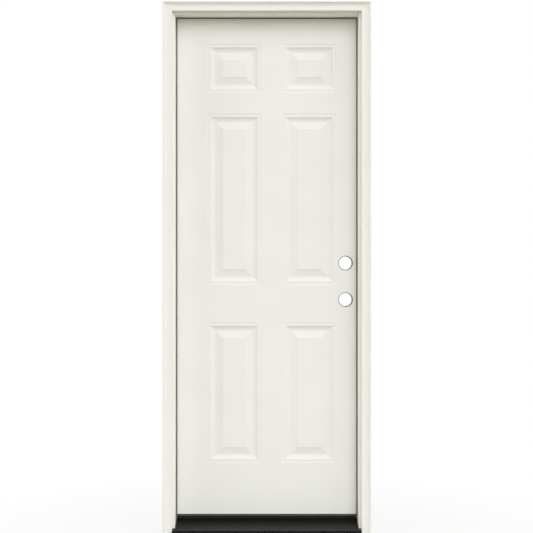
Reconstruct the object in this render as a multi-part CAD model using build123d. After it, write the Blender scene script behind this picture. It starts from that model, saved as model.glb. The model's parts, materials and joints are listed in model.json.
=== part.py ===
from build123d import *
import math
import os

# Six-panel exterior door hung in its rabbeted frame, in millimetres.
# +X is right as seen from outside, +Y goes indoors and +Z is up. The origin is under the
# middle of the sill, on the plane where the casing meets the wall.

# Slab
slab_width = 755.65
slab_height = 2012.95
slab_thick = 44.45
slab_lift = 57.5
door_gap = 3.0

# Jambs
jamb_depth = 115.9
jamb_thick = 19.2
stop_proud = 15.3
weather_gap = 5.0
jamb_round = 1.5

# Weatherstrip and the kerf that holds it
kerf_width = 2.5
kerf_depth = 10.0
kerf_from_rabbet = 3.0
kerf_clear = 0.2
strip_lip = 5.0
strip_clear = 0.3
lip_round_share = 0.9

# Casing
mould_width = 37.5
mould_thick = 32.0
mould_reveal = 10.0
mould_flat_width = 20.0
mould_flat_thick = 22.0
mould_quirk = 1.6
mould_band_width = 6.0
mould_round = 1.8

# Sill
nose_reach = 30.0
nose_height = 8.7
nose_round = 2.0
deck_slope = 9.86
deck_wall = 1.8
cove_round = 14.0
riser_ahead = 1.45
riser_land = 0.3
ledge_width = 1.8
channel_depth = 10.0
horn_clear = 0.5

# Adjustable sill cap and its screws
cap_clear = 1.0
cap_lift = 3.0
cap_round = 3.0
cap_screw_count = 4
cap_screw_radius = 3.0
cap_screw_collar = 6.0
cap_screw_clear = 0.2
cap_screw_sink = 0.6

# Door sweep
sweep_drop = 9.3
sweep_clear = 0.4
sweep_plate = 2.0
sweep_inset = 0.8
sweep_fin = 2.4
sweep_fin_count = 4
sweep_end_gap = 1.5
sweep_leg = 2.1
sweep_leg_height = 9.5
sweep_leg_shares = (0.3, 0.7)
sweep_kerf_clear = 0.2

# Slab build-up
skin_thick = 0.7
skin_return = 12.0
stile_width = 28.6
top_rail_height = 45.0
bottom_rail_height = 60.0
lock_block_width = 64.0
lock_block_margin = 110.0
bond_gap = 0.2

# Panel layout: margins from the slab edges and bars between the panels
hinge_margin = 135.8
lock_margin = 96.1
mullion_width = 82.7
bottom_margin = 204.4
top_margin = 116.75
bottom_panel_height = 568.9
top_panel_height = 198.9
lock_bar_height = 148.5
frieze_bar_height = 81.9

# Panel relief, from its outer edge inwards: widths of each strip and depths at their ends
dip_width = 8.0
bead_width = 7.0
cove_width = 21.0
bevel_width = 23.5
step_width = 3.5
dip_depth = 1.5
bead_depth = 0.5
cove_depth = 8.5
bevel_depth = 3.5
field_depth = 1.2

# Lock preparation
bore_radius = 26.99
bore_backset = 60.3
lock_height = 863.8
deadbolt_spacing = 147.3
latch_radius = 12.7
faceplate_width = 25.4
faceplate_height = 57.2
faceplate_depth = 3.2
strike_width = 28.6
strike_height = 70.0
strike_depth = 1.6

# Hinges
hinge_height = 101.6
hinge_reach = 50.8
leaf_thick = 2.5
leaf_round = 15.9
leaf_clear = 0.2
barrel_radius = 6.35
barrel_proud = 11.0
barrel_sides = 24
knuckle_count = 5
knuckle_gap = 0.4
knuckle_relief = 0.6
pin_radius = 3.8
pin_clear = 0.15
pin_head_radius = 5.6
pin_head_height = 3.0
pin_head_bevel = 0.9
hinge_top_margin = 177.8
hinge_bottom_margin = 279.4

# Wood screws: leaf screws zigzag over the leaf, frame screws go through the jamb legs
leaf_screw_head = 4.5
leaf_screw_shank = 2.2
jamb_screw_length = 16.0
door_screw_length = 24.0
frame_screw_head = 4.8
frame_screw_shank = 2.4
frame_screw_taper = 3.0
frame_screw_length = 63.0
sill_screw_height = 9.0
screw_clear = 0.1
screw_rim = 0.2
screw_sides = 6
leaf_screw_height_shares = (-0.375, -0.165, 0.165, 0.375)
leaf_screw_reach_shares = (0.62, 0.42, 0.62, 0.42)
frame_screw_depth_shares = (0.26, 0.82)

# Corner pads
pad_height = 50.0
pad_length = 28.0
pad_thick_end = 2.4
pad_thin_end = 0.8

# How far cutting tools run past the faces that they cut
overrun = 5.0

# Planes that several pieces share
slab_half = slab_width / 2
slab_bottom = slab_lift
slab_top = slab_lift + slab_height
slab_back = jamb_depth
slab_front = jamb_depth - slab_thick
slab_middle = jamb_depth - slab_thick / 2
stop_back = slab_front - weather_gap
rabbet_half = slab_half + door_gap
stop_half = rabbet_half - stop_proud
frame_half = rabbet_half + jamb_thick
rabbet_top = slab_top + door_gap
stop_top = rabbet_top - stop_proud
frame_top = rabbet_top + jamb_thick
mould_in = stop_half + mould_reveal
mould_out = mould_in + mould_width
mould_in_top = stop_top + mould_reveal
mould_out_top = mould_in_top + mould_width
lock_x = slab_half - bore_backset
bore_heights = (slab_bottom + lock_height, slab_bottom + lock_height + deadbolt_spacing)
axis_x = -(slab_half + door_gap / 2)
axis_y = slab_back + barrel_proud

# Sill heights, from the nose back to the channel
riser_y = slab_front - riser_ahead
slope_angle = math.radians(deck_slope)
cove_centre_y = riser_y - cove_round
slope_at_cove = nose_height + (cove_centre_y + nose_reach) * math.tan(slope_angle)
cove_centre_z = slope_at_cove + cove_round / math.cos(slope_angle)
riser_top = cove_centre_z + riser_land
ledge_back = riser_y + ledge_width
channel_floor = riser_top - channel_depth
channel_back = jamb_depth - deck_wall
underside_drop = deck_wall / math.cos(slope_angle)
cap_top = slab_bottom - sweep_drop - sweep_clear
cap_bottom = channel_floor + cap_lift

# Panel places: left edge and width of the columns, lower edge and height of the rows
panel_width = (slab_width - hinge_margin - lock_margin - mullion_width) / 2
panel_lefts = (hinge_margin - slab_half, slab_half - lock_margin - panel_width)
middle_bottom = bottom_margin + bottom_panel_height + lock_bar_height
top_panel_bottom = slab_height - top_margin - top_panel_height
middle_panel_height = top_panel_bottom - frieze_bar_height - middle_bottom
panel_rows = (
    (slab_bottom + bottom_margin, bottom_panel_height),
    (slab_bottom + middle_bottom, middle_panel_height),
    (slab_bottom + top_panel_bottom, top_panel_height),
)

# Hinge places: the lower end of each hinge
hinge_high = slab_top - hinge_top_margin - hinge_height
hinge_low = slab_bottom + hinge_bottom_margin
hinge_places = {
    "top": hinge_high,
    "middle": (hinge_high + hinge_low) / 2,
    "bottom": hinge_low,
}
knuckle_height = (hinge_height - (knuckle_count - 1) * knuckle_gap) / knuckle_count

across_x = Plane(origin=(0, 0, 0), x_dir=(0, 0, 1), z_dir=(-1, 0, 0))


def block(low, high):
    """Block between its lowest and highest corners."""
    size = [top - bottom for bottom, top in zip(low, high)]
    middle = [(top + bottom) / 2 for bottom, top in zip(low, high)]
    return Pos(*middle) * Box(*size)


def outline_face(points):
    """Flat face inside a closed run of straight edges."""
    return make_face(Polyline(*points, close=True))


def rod(start, direction, radius, length):
    """Round rod from a start point along a direction."""
    place = Plane(origin=start, z_dir=direction)
    return extrude(place * Circle(radius), amount=length)


def mirrored(part):
    """The same piece on the other side of the door's centre plane."""
    return mirror(part, about=Plane.YZ)


def screw(start, direction, head, shank, taper, length, grow=0.0):
    """Countersunk screw with flat sides, its head flush at the start. Grow widens it into its hole."""
    place = Plane(origin=start, z_dir=direction)
    axis = Axis(origin=start, direction=direction)
    disc = extrude(place * RegularPolygon(head + grow, screw_sides), amount=taper)
    under = disc.faces().group_by(axis)[-1][0]
    lean = (head - shank) * math.cos(math.pi / screw_sides)
    cone = chamfer(under.edges(), lean, taper - screw_rim, reference=under)
    return cone + extrude(place * RegularPolygon(shank + grow, screw_sides), amount=length + grow)


# Frame

def jamb_section():
    """Rabbeted jamb in plan on the strike side, with the kerf beside the rabbet corner."""
    kerf_out = rabbet_half - kerf_from_rabbet
    kerf_in = kerf_out - kerf_width
    kerf_end = stop_back - kerf_depth
    section = outline_face([
        (stop_half, 0), (frame_half, 0), (frame_half, jamb_depth), (rabbet_half, jamb_depth),
        (rabbet_half, stop_back), (kerf_out, stop_back), (kerf_out, kerf_end),
        (kerf_in, kerf_end), (kerf_in, stop_back), (stop_half, stop_back),
    ])
    corner = section.vertices().sort_by_distance((stop_half, 0, 0))[0]
    return fillet(corner, jamb_round)


def frame_screw_depths():
    return [share * jamb_depth for share in frame_screw_depth_shares]


def frame_screws(height, grow=0.0):
    """Screws through both jamb legs at one height."""
    screws = []
    for depth in frame_screw_depths():
        one = screw((frame_half, depth, height), (-1, 0, 0), frame_screw_head, frame_screw_shank,
                    frame_screw_taper, frame_screw_length, grow)
        screws.append(one)
        screws.append(mirrored(one))
    return screws


def head_screw_height():
    return rabbet_top + jamb_thick / 2


def jamb_leg():
    """Strike-side leg with its frame screw holes, before hinge or strike cuts."""
    leg = extrude(jamb_section(), amount=frame_top)
    for height in (sill_screw_height, head_screw_height()):
        for hole in frame_screws(height, screw_clear):
            leg = leg - hole
    return leg


def hinge_jamb():
    leg = mirrored(jamb_leg())
    for low in hinge_places.values():
        leg = leg - leaf_pocket(low, -1)
    for hole in leaf_screws(-1, screw_clear):
        leg = leg - hole
    return leg


def strike_jamb():
    leg = jamb_leg()
    for height in bore_heights:
        mortise = block(
            (rabbet_half - overrun, slab_middle - strike_width / 2, height - strike_height / 2),
            (rabbet_half + strike_depth, slab_middle + strike_width / 2, height + strike_height / 2),
        )
        hole = rod((rabbet_half, slab_middle, height), (1, 0, 0), latch_radius, jamb_thick + overrun)
        leg = leg - mortise - hole
    return leg


def between_legs(low, high, nose=0.0):
    """Space between the jamb legs in plan, wider past the stops and ahead of the jambs."""
    nose_half = mould_in - horn_clear
    right = [(stop_half, 0), (stop_half, stop_back), (rabbet_half, stop_back), (rabbet_half, jamb_depth)]
    if nose > 0:
        right = [(nose_half, -nose), (nose_half, 0)] + right
    left = [(-x, y) for x, y in reversed(right)]
    return extrude(Plane.XY.offset(low) * outline_face(right + left), amount=high - low)


def head_jamb():
    """Head with the same section as the legs, notched round their stops."""
    lift = frame_top - frame_half
    bar = Pos(0, 0, lift) * extrude(across_x * jamb_section(), amount=frame_half, both=True)
    head = bar & between_legs(stop_top - overrun, frame_top + overrun)
    for hole in frame_screws(head_screw_height(), screw_clear):
        head = head - hole
    return head


def mitred(leg_in, leg_out, top_in, top_out):
    """Front-view shapes of a mitred leg and head, as blocks running through the depth."""
    reach = 2 * jamb_depth
    leg = [(leg_in, 0), (leg_out, 0), (leg_out, top_out), (leg_in, top_in)]
    head = [(-leg_in, top_in), (leg_in, top_in), (leg_out, top_out), (-leg_out, top_out)]
    return [extrude(Plane.XZ * outline_face(shape), amount=reach, both=True) for shape in (leg, head)]


def mould_section():
    """Casing profile: flat inner band, quirk, cove and proud outer band."""
    band_start = mould_width - mould_band_width
    quirk_top = mould_flat_thick + mould_quirk
    run = band_start - mould_flat_width
    rise = mould_thick - quirk_top
    bow = (run * run + rise * rise) / (2 * rise)
    half_turn = math.asin(run / bow) / 2
    cove_middle = (mould_flat_width + bow * math.sin(half_turn),
                   -(quirk_top + bow * (1 - math.cos(half_turn))))
    edges = [
        Polyline((band_start, -mould_thick), (mould_width, -mould_thick), (mould_width, 0), (0, 0),
                 (0, -mould_flat_thick), (mould_flat_width, -mould_flat_thick),
                 (mould_flat_width, -quirk_top)),
        ThreePointArc((mould_flat_width, -quirk_top), cove_middle, (band_start, -mould_thick)),
    ]
    section = make_face(edges)
    corners = [(0, -mould_flat_thick, 0), (mould_width, -mould_thick, 0)]
    rounded = [section.vertices().sort_by_distance(corner)[0] for corner in corners]
    return fillet(rounded, mould_round)


def brickmould():
    """Strike-side leg and head of the casing, mitred to each other."""
    leg_shape, head_shape = mitred(mould_in, mould_out, mould_in_top, mould_out_top)
    leg = extrude(Pos(mould_in, 0, 0) * mould_section(), amount=mould_out_top)
    head = Pos(0, 0, mould_in_top) * extrude(across_x * mould_section(), amount=mould_out, both=True)
    return leg & leg_shape, head & head_shape


def strip_sections():
    """Seal in plan on the strike side: the rounded bulb, and the leg that goes into the kerf."""
    lip = stop_half - strip_lip
    face = stop_back + weather_gap - strip_clear
    bulb = outline_face([(rabbet_half - strip_clear, stop_back), (rabbet_half - strip_clear, face),
                         (lip, face), (lip, stop_back)])
    bulb = fillet(bulb.vertices().group_by(Axis.X)[0], (face - stop_back) / 2 * lip_round_share)
    leg_out = rabbet_half - kerf_from_rabbet - kerf_clear
    leg_in = leg_out - kerf_width + 2 * kerf_clear
    leg_end = stop_back - kerf_depth + kerf_clear
    leg = outline_face([(leg_out, leg_end), (leg_out, stop_back), (leg_in, stop_back), (leg_in, leg_end)])
    return bulb, leg


def weatherstrips():
    """Strike-side and head seals, mitred where they meet under the head."""
    lip_half = stop_half - strip_lip
    lip_top = stop_top - strip_lip
    leg_shape, head_shape = mitred(lip_half, rabbet_half, lip_top, rabbet_top)
    bulb, leg = strip_sections()
    length = rabbet_top - riser_top
    side = Pos(0, 0, riser_top) * (extrude(bulb, amount=length) + extrude(leg, amount=length))
    lift = rabbet_top - rabbet_half
    head_bulb = extrude(across_x * bulb, amount=rabbet_half, both=True)
    head_leg = extrude(across_x * leg, amount=stop_half, both=True)
    head = Pos(0, 0, lift) * (head_bulb + head_leg)
    return side & leg_shape, head & head_shape


def corner_pad():
    """Wedge on the strike jamb that fills the gap beside the foot of the slab."""
    near = slab_front + sweep_inset
    far = near + pad_length
    wedge = outline_face([(rabbet_half, near), (rabbet_half - pad_thick_end, near),
                          (rabbet_half - pad_thin_end, far), (rabbet_half, far)])
    return extrude(Plane.XY.offset(cap_top + sweep_clear) * wedge, amount=pad_height)


# Sill

def slope_height(y):
    """Height of the sloped deck at a depth."""
    return nose_height + (y + nose_reach) * math.tan(slope_angle)


def underside_meet():
    """Depth at which the deck's sloped underside reaches the channel's underside."""
    rise = channel_floor - deck_wall + underside_drop - nose_height
    return rise / math.tan(slope_angle) - nose_reach


def sill_deck():
    """Extruded deck: nose, slope, cove up to the riser, ledge and channel for the cap."""
    cove_start = (cove_centre_y + cove_round * math.sin(slope_angle),
                  cove_centre_z - cove_round * math.cos(slope_angle))
    middle_angle = (slope_angle + math.pi / 2) / 2
    cove_middle = (cove_centre_y + cove_round * math.sin(middle_angle),
                   cove_centre_z - cove_round * math.cos(middle_angle))
    nose_back = deck_wall - nose_reach
    edges = [
        Polyline((riser_y, cove_centre_z), (riser_y, riser_top), (ledge_back, riser_top),
                 (ledge_back, channel_floor), (channel_back, channel_floor), (channel_back, riser_top),
                 (jamb_depth, riser_top), (jamb_depth, 0), (channel_back, 0),
                 (channel_back, channel_floor - deck_wall), (underside_meet(), channel_floor - deck_wall),
                 (nose_back, slope_height(nose_back) - underside_drop), (nose_back, 0),
                 (-nose_reach, 0), (-nose_reach, nose_height), cove_start),
        ThreePointArc(cove_start, cove_middle, (riser_y, cove_centre_z)),
    ]
    section = make_face(edges)
    nose = section.vertices().sort_by_distance((-nose_reach, nose_height, 0))[0]
    bar = extrude(Plane.YZ * fillet(nose, nose_round), amount=frame_half, both=True)
    return bar & between_legs(-overrun, riser_top + overrun, nose_reach + overrun)


def sill_substrate():
    """Composite base that fills the deck from below and takes the frame screws."""
    nose_back = deck_wall - nose_reach
    section = outline_face([
        (nose_back, 0), (nose_back, slope_height(nose_back) - underside_drop),
        (underside_meet(), channel_floor - deck_wall), (channel_back, channel_floor - deck_wall),
        (channel_back, 0),
    ])
    bar = extrude(Plane.YZ * section, amount=frame_half, both=True)
    base = bar & between_legs(-overrun, riser_top + overrun, nose_reach + overrun)
    for hole in frame_screws(sill_screw_height, screw_clear):
        base = base - hole
    return base


def cap_screw_places():
    pitch = 2 * rabbet_half / cap_screw_count
    return [(index + 1 / 2) * pitch - rabbet_half for index in range(cap_screw_count)]


def cap_middle():
    return (ledge_back + channel_back) / 2


def sill_cap():
    """Cap in the channel, rounded along its top edges."""
    section = outline_face([(ledge_back + cap_clear, cap_bottom), (ledge_back + cap_clear, cap_top),
                            (channel_back - cap_clear, cap_top), (channel_back - cap_clear, cap_bottom)])
    section = fillet(section.vertices().group_by(Axis.Y)[-1], cap_round)
    cap = extrude(Plane.YZ * section, amount=rabbet_half - horn_clear, both=True)
    hole = RegularPolygon(cap_screw_radius + cap_screw_clear, screw_sides)
    for x in cap_screw_places():
        cap = cap - extrude(Pos(x, cap_middle(), cap_bottom - overrun) * hole, amount=cap_top)
    return cap


def sill_cap_screws():
    """Adjusting screws: a collar on the channel floor carries the cap."""
    screws = []
    for x in cap_screw_places():
        foot = (x, cap_middle(), channel_floor)
        collar = extrude(Pos(*foot) * RegularPolygon(cap_screw_collar, screw_sides), amount=cap_lift)
        stem = extrude(Pos(*foot) * RegularPolygon(cap_screw_radius, screw_sides),
                       amount=cap_top - cap_screw_sink - channel_floor)
        screws.append(collar + stem)
    return screws


# Slab

def relief_prism(left, bottom, width, height, outline):
    """Solid with the same outline across the width and across the height of a panel."""
    sideways = extrude(Plane((left, 0, bottom)) * outline(width), amount=height)
    upright_plane = Plane(origin=(left, 0, bottom), x_dir=(0, 0, 1), z_dir=(-1, 0, 0))
    upright = extrude(upright_plane * outline(height), amount=-width)
    return sideways & upright


def dip_outline(span):
    """Shallow groove round the panel, open to the face."""
    return outline_face([(0, -overrun), (0, 0), (dip_width, dip_depth), (span - dip_width, dip_depth),
                         (span, 0), (span, -overrun)])


def bead_outline(span):
    """Bead that stands up inside the groove."""
    start = dip_width
    end = dip_width + bead_width
    floor = dip_depth + overrun
    return outline_face([(start, floor), (start, dip_depth), (end, bead_depth), (span - end, bead_depth),
                         (span - start, dip_depth), (span - start, floor)])


def cove_outline(span):
    """Cove from the bead down to the lowest line, steep at its top and level at its end."""
    start = dip_width + bead_width
    end = start + cove_width
    drop = cove_depth - bead_depth
    bow = (cove_width * cove_width + drop * drop) / (2 * drop)
    half_turn = math.asin(cove_width / bow) / 2
    middle = (end - bow * math.sin(half_turn), cove_depth - bow * (1 - math.cos(half_turn)))
    edges = [
        ThreePointArc((start, bead_depth), middle, (end, cove_depth)),
        Line((end, cove_depth), (span - end, cove_depth)),
        ThreePointArc((span - end, cove_depth), (span - middle[0], middle[1]), (span - start, bead_depth)),
        Polyline((span - start, bead_depth), (span - start, -overrun), (start, -overrun),
                 (start, bead_depth)),
    ]
    return make_face(edges)


def field_outline(span):
    """Bevel and step up to the flat field in the middle of the panel."""
    start = dip_width + bead_width + cove_width
    bevel_end = start + bevel_width
    step_end = bevel_end + step_width
    floor = cove_depth + overrun
    left = [(start, floor), (start, cove_depth), (bevel_end, bevel_depth), (step_end, field_depth)]
    right = [(span - u, depth) for u, depth in reversed(left)]
    return outline_face(left + right)


def panel_pockets():
    """Air above the relief of every panel, for a face on the plane y = 0."""
    pockets = []
    for bottom, height in panel_rows:
        for left in panel_lefts:
            groove = relief_prism(left, bottom, panel_width, height, dip_outline)
            bead = relief_prism(left, bottom, panel_width, height, bead_outline)
            cove = relief_prism(left, bottom, panel_width, height, cove_outline)
            field = relief_prism(left, bottom, panel_width, height, field_outline)
            pockets.append(groove - bead + cove - field)
    return pockets


def relief_block(pockets, face, half_width, depth, low, high):
    """Block with the panel relief sunk into its front face."""
    body = block((-half_width, face, low), (half_width, face + depth, high))
    for pocket in pockets:
        body = body - Pos(0, face, 0) * pocket
    return body


def turned(part):
    """The same piece on the indoor side of the slab."""
    return mirror(part, about=Plane(origin=(0, slab_middle, 0), z_dir=(0, 1, 0)))


def cross_bores():
    """Through holes for the lockset and the deadbolt."""
    start = slab_front - overrun
    length = slab_thick + 2 * overrun
    return [rod((lock_x, start, height), (0, 1, 0), bore_radius, length) for height in bore_heights]


def faceplate_mortises():
    """Shallow recesses in the lock edge round each latch hole."""
    recesses = []
    for height in bore_heights:
        recesses.append(block(
            (slab_half - faceplate_depth, slab_middle - faceplate_width / 2, height - faceplate_height / 2),
            (slab_half + overrun, slab_middle + faceplate_width / 2, height + faceplate_height / 2),
        ))
    return recesses


def latch_holes():
    """Holes from the lock edge into the through holes."""
    length = bore_backset + overrun
    return [rod((lock_x, slab_middle, height), (1, 0, 0), latch_radius, length) for height in bore_heights]


def skins(pockets):
    """Embossed sheets for both faces, returned round the long edges."""
    outer = relief_block(pockets, slab_front, slab_half, skin_return, slab_bottom, slab_top)
    inner = relief_block(pockets, slab_front + skin_thick, slab_half - skin_thick, skin_return,
                         slab_bottom - overrun, slab_top + overrun)
    sheet = outer - inner
    cuts = cross_bores() + faceplate_mortises()
    for low in hinge_places.values():
        cuts.append(leaf_pocket(low, 1))
    outside = sheet
    inside = turned(sheet)
    for cut in cuts:
        outside = outside - cut
        inside = inside - cut
    return outside, inside


def stile():
    """Lock-side edge timber, rebated for the skin returns."""
    front = slab_front + skin_thick
    back = slab_back - skin_thick
    step = slab_half - skin_thick
    inner = slab_half - stile_width
    proud_front = slab_front + skin_return
    proud_back = slab_back - skin_return
    section = outline_face([
        (inner, front), (step, front), (step, proud_front), (slab_half, proud_front),
        (slab_half, proud_back), (step, proud_back), (step, back), (inner, back),
    ])
    return extrude(Plane.XY.offset(slab_bottom) * section, amount=slab_height)


def lock_stile():
    edge = stile()
    for cut in faceplate_mortises() + latch_holes():
        edge = edge - cut
    return edge


def hinge_stile():
    edge = mirrored(stile())
    for low in hinge_places.values():
        edge = edge - leaf_pocket(low, 1)
    for hole in leaf_screws(1, screw_clear):
        edge = edge - hole
    return edge


def rail(low, high):
    """Timber between the stiles, at the top or bottom of the slab."""
    inner = slab_half - stile_width
    return block((-inner, slab_front + skin_thick, low), (inner, slab_back - skin_thick, high))


def lock_block_range():
    return bore_heights[0] - lock_block_margin, bore_heights[1] + lock_block_margin


def lock_block_solid():
    low, high = lock_block_range()
    outer = slab_half - stile_width
    return block((outer - lock_block_width, slab_front + skin_thick, low),
                 (outer, slab_back - skin_thick, high))


def lock_block():
    """Timber behind the lock stile that the through holes are bored in."""
    body = lock_block_solid()
    for cut in cross_bores() + latch_holes():
        body = body - cut
    return body


def foam_core(pockets):
    """Insulation that follows the relief of both skins and leaves room for the lock block."""
    inner = slab_half - stile_width
    inset = skin_thick + bond_gap
    core = block((-inner, slab_front + inset, slab_bottom + bottom_rail_height),
                 (inner, slab_back - inset, slab_top - top_rail_height))
    for pocket in pockets:
        sunk = Pos(0, slab_front + inset, 0) * pocket
        core = core - sunk - turned(sunk)
    return core - lock_block_solid()


def sweep_leg_depths():
    """Depths of the two legs that grip the bottom rail."""
    return [slab_front + slab_thick * share for share in sweep_leg_shares]


def bottom_rail():
    """Bottom timber with two kerfs for the sweep."""
    body = rail(slab_bottom, slab_bottom + bottom_rail_height)
    half = sweep_leg / 2 + sweep_kerf_clear
    for depth in sweep_leg_depths():
        body = body - block((-slab_half, depth - half, slab_bottom - overrun),
                            (slab_half, depth + half, slab_bottom + sweep_leg_height + sweep_kerf_clear))
    return body


def door_sweep():
    """Seal under the slab: a plate, hanging fins and two legs in the rail's kerfs."""
    front = slab_front + sweep_inset
    back = slab_back - sweep_inset
    low = slab_bottom - sweep_drop
    pitch = (back - front - sweep_fin) / (sweep_fin_count - 1)
    plate = outline_face([(front, slab_bottom - sweep_plate), (front, slab_bottom), (back, slab_bottom),
                          (back, slab_bottom - sweep_plate)])
    for index in range(sweep_fin_count):
        start = front + index * pitch
        fin = outline_face([(start, low), (start, slab_bottom), (start + sweep_fin, slab_bottom),
                            (start + sweep_fin, low)])
        plate = plate + fin
    half = slab_half - stile_width - sweep_end_gap
    bar = extrude(Plane.YZ * plate, amount=slab_half - sweep_end_gap, both=True)
    for depth in sweep_leg_depths():
        bar = bar + block((-half, depth - sweep_leg / 2, slab_bottom - sweep_plate),
                          (half, depth + sweep_leg / 2, slab_bottom + sweep_leg_height))
    return bar


# Hinges

def leaf_face(side):
    """Distance of a leaf's two faces from the hinge axis, on the jamb or the door side."""
    near = side * door_gap / 2
    return near, near + side * leaf_thick


def leaf_pocket(low, side):
    """Mortise for one leaf in the jamb or in the slab's edge."""
    near, far = leaf_face(side)
    start = axis_x + min(near, far)
    if side > 0:
        start = start - overrun
    thick = leaf_thick + overrun
    edge = axis_y - hinge_reach - leaf_clear
    pocket = block((start, edge, low - leaf_clear),
                   (start + thick, slab_back + overrun, low + hinge_height + leaf_clear))
    corners = pocket.edges().filter_by(Axis.X).group_by(Axis.Y)[0]
    return fillet(corners, leaf_round)


def hinge_post(low, radius, height):
    """Post on the hinge axis, many-sided because knuckles and pins repeat."""
    return extrude(Pos(axis_x, axis_y, low) * RegularPolygon(radius, barrel_sides), amount=height)


def own_knuckles(side):
    """Knuckles of the jamb leaf are the odd ones out, those of the door leaf lie between."""
    first = 0 if side < 0 else 1
    return range(first, knuckle_count, 2)


def leaf_screw_starts(low, side):
    """Screw heads on a leaf: their depth and height zigzag."""
    near, far = leaf_face(side)
    middle = low + hinge_height / 2
    places = []
    for rise, reach in zip(leaf_screw_height_shares, leaf_screw_reach_shares):
        places.append((axis_x + near, axis_y - reach * hinge_reach, middle + rise * hinge_height))
    return places


def leaf_screws(side, grow=0.0):
    """All screws of the jamb leaves or of the door leaves."""
    length = jamb_screw_length if side < 0 else door_screw_length
    screws = []
    for low in hinge_places.values():
        for start in leaf_screw_starts(low, side):
            one = screw(start, (side, 0, 0), leaf_screw_head, leaf_screw_shank, leaf_thick, length, grow)
            screws.append(one)
    return screws


def hinge_leaf(low, side):
    """Leaf plate with rounded corners, its knuckles and its countersunk holes."""
    near, far = leaf_face(side)
    left = axis_x + min(near, far)
    plate = block((left, axis_y - hinge_reach, low),
                  (left + leaf_thick, axis_y - barrel_radius - knuckle_relief, low + hinge_height))
    plate = fillet(plate.edges().filter_by(Axis.X).group_by(Axis.Y)[0], leaf_round)
    for index in own_knuckles(side):
        start = low + index * (knuckle_height + knuckle_gap)
        tab = block((left, axis_y - hinge_reach / 2, start),
                    (left + leaf_thick, axis_y, start + knuckle_height))
        plate = plate + tab + hinge_post(start, barrel_radius, knuckle_height)
    plate = plate - hinge_post(low - overrun, pin_radius + pin_clear, hinge_height + 2 * overrun)
    for start in leaf_screw_starts(low, side):
        plate = plate - screw(start, (side, 0, 0), leaf_screw_head, leaf_screw_shank, leaf_thick,
                              leaf_thick + overrun, screw_clear)
    return plate


def hinge_pin(low):
    """Loose pin, its bevelled head on the top knuckle."""
    head = hinge_post(low + hinge_height, pin_head_radius, pin_head_height)
    head = chamfer(head.edges().group_by(Axis.Z)[-1], pin_head_bevel)
    return head + hinge_post(low, pin_radius, hinge_height)


def door_parts():
    """Every piece by its node name."""
    pockets = panel_pockets()
    mould_leg, mould_head = brickmould()
    strip_leg, strip_head = weatherstrips()
    outside, inside = skins(pockets)
    pad = corner_pad()
    parts = {
        "hinge_jamb": hinge_jamb(),
        "strike_jamb": strike_jamb(),
        "head_jamb": head_jamb(),
        "brickmould_hinge_side": mirrored(mould_leg),
        "brickmould_strike_side": mould_leg,
        "brickmould_head": mould_head,
        "sill_deck": sill_deck(),
        "sill_substrate": sill_substrate(),
        "sill_cap": sill_cap(),
        "sill_cap_screws": Compound(sill_cap_screws()),
        "jamb_sill_screws": Compound(frame_screws(sill_screw_height)),
        "jamb_head_screws": Compound(frame_screws(head_screw_height())),
        "weatherstrip_hinge_side": mirrored(strip_leg),
        "weatherstrip_strike_side": strip_leg,
        "weatherstrip_head": strip_head,
        "corner_pad_hinge_side": mirrored(pad),
        "corner_pad_strike_side": pad,
        "hinge_jamb_screws": Compound(leaf_screws(-1)),
        "exterior_skin": outside,
        "interior_skin": inside,
        "hinge_stile": hinge_stile(),
        "lock_stile": lock_stile(),
        "top_rail": rail(slab_top - top_rail_height, slab_top),
        "bottom_rail": bottom_rail(),
        "lock_block": lock_block(),
        "foam_core": foam_core(pockets),
        "door_sweep": door_sweep(),
        "hinge_door_screws": Compound(leaf_screws(1)),
    }
    for name, low in hinge_places.items():
        parts["hinge_" + name + "_jamb_leaf"] = hinge_leaf(low, -1)
        parts["hinge_" + name + "_door_leaf"] = hinge_leaf(low, 1)
        parts["hinge_" + name + "_pin"] = hinge_pin(low)
    return parts


os.makedirs("parts", exist_ok=True)
for node, part in door_parts().items():
    export_step(part, "parts/" + node + ".step")
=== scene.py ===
import json
import math

import bmesh
import bpy
from mathutils import Matrix, Vector


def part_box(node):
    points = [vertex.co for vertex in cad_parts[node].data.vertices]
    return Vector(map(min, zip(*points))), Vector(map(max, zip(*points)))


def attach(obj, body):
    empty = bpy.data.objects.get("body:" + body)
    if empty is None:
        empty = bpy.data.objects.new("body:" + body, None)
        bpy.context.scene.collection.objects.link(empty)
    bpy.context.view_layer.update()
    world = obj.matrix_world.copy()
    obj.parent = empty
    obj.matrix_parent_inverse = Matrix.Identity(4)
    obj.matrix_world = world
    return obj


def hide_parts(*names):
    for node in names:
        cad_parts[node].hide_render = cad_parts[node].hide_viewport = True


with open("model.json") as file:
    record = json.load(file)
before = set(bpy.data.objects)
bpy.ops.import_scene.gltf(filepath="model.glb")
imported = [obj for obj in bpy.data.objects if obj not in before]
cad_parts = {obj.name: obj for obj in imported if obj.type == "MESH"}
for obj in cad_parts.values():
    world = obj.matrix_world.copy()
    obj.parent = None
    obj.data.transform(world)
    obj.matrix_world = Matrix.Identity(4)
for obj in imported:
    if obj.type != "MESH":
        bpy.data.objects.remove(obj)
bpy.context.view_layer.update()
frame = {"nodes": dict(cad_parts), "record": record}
record = frame["record"]

# Looks of the six-panel entry door in its frame. The frame is in metres: +X right as seen from
# outside, +Y indoors, +Z up. Sizes below are in millimetres, and mm turns them into metres.
mm = 0.001

# Panel layout, from the edges of the slab
hinge_margin = 135.8
lock_margin = 96.1
mullion_width = 82.7
bottom_margin = 204.4
top_margin = 116.75
bottom_panel_height = 568.9
top_panel_height = 198.9
lock_bar_height = 148.5
frieze_bar_height = 81.9

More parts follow.
